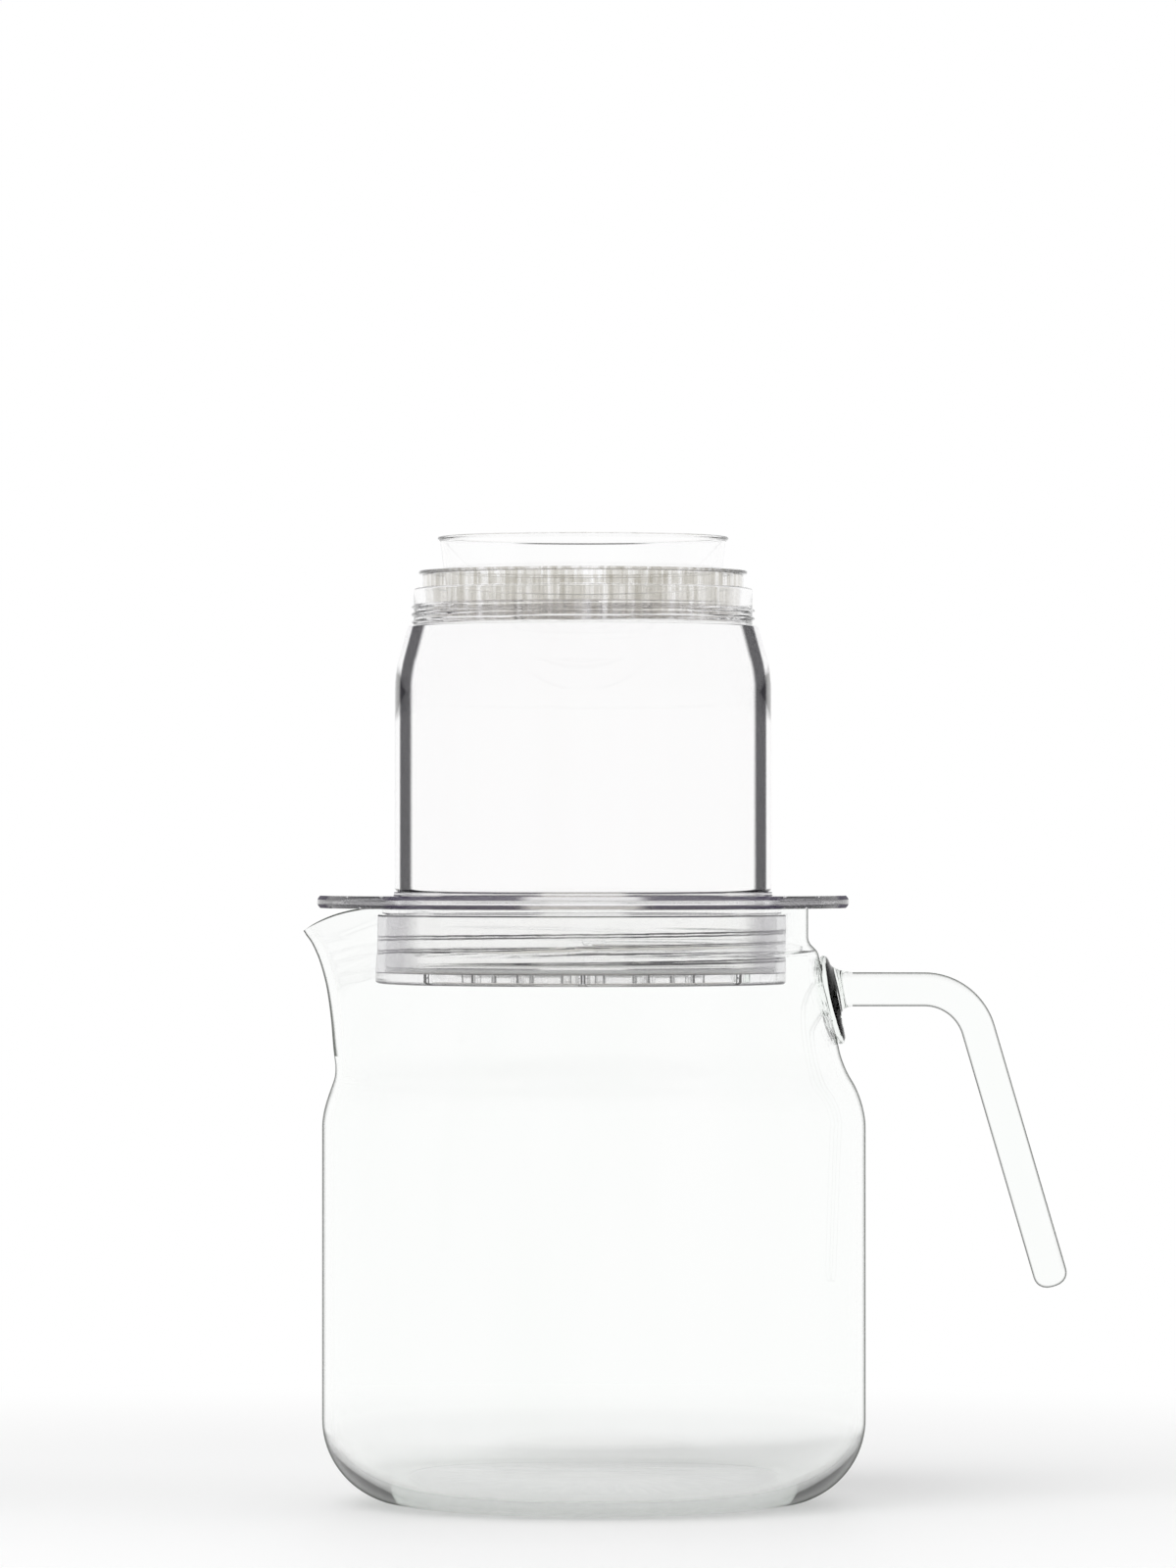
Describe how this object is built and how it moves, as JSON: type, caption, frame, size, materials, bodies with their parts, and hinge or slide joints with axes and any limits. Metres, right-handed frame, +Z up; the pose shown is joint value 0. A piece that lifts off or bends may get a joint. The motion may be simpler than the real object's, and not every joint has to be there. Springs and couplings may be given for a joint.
{
  "type": "pour-over coffee dripper",
  "caption": "Clear pour-over coffee dripper with a screw-on drain base, tall brew chamber and drip head, standing on a round glass server with a pulled spout and a rod handle.",
  "frame": {"origin": "centre of the server's base, on the surface that it stands on", "axes": "+Z up along the server's axis, +X towards the handle, so the spout points along -X, and +Y away from the viewer of the picture"},
  "size_m": [0.1626, 0.1154, 0.2052],
  "materials": {
    "server_glass": "clear blown borosilicate glass, fire-polished at the rim",
    "clear_plastic": "clear moulded plastic, polished, with a faint cool tint in the thick rings",
    "thin_clear_plastic": "thin clear moulded plastic, polished",
    "filter_paper": "thin wet filter paper",
    "silicone": "translucent silicone"
  },
  "bodies": {
    "server": {"server_glass": "server_glass", "server_handle": "server_glass"},
    "flange": {"flange_ring": "clear_plastic"},
    "chamber": {"brew_chamber": "clear_plastic"},
    "seal": {"base_seal": "silicone"},
    "collar": {"screw_collar": "clear_plastic", "drain_floor": "clear_plastic", "filter_disc": "filter_paper"},
    "head": {"head_ring": "clear_plastic", "drip_plate": "clear_plastic", "chimney_cup": "thin_clear_plastic"}
  },
  "joints": [
    {"name": "dripper_lift", "type": "slide", "parent": "server", "child": "flange", "axis": [0, 0, 1], "range_m": [0, 0.06]},
    {"name": "chamber_lift", "type": "slide", "parent": "flange", "child": "chamber", "axis": [0, 0, 1], "range_m": [0, 0.018]},
    {"name": "collar_travel", "type": "slide", "parent": "flange", "child": "seal", "axis": [0, 0, 1], "range_m": [-0.0075, 0]},
    {"name": "collar_turn", "type": "hinge", "parent": "seal", "child": "collar", "pos_m": [-0.0023, 0, 0.1125], "axis": [0, 0, 1], "range_deg": [-900, 0]},
    {"name": "head_lift", "type": "slide", "parent": "chamber", "child": "head", "axis": [0, 0, 1], "range_m": [0, 0.03]}
  ],
  "couplings": [
    {"joint": "collar_travel", "follows": "collar_turn", "m_per_rad": 0.0004774}
  ]
}
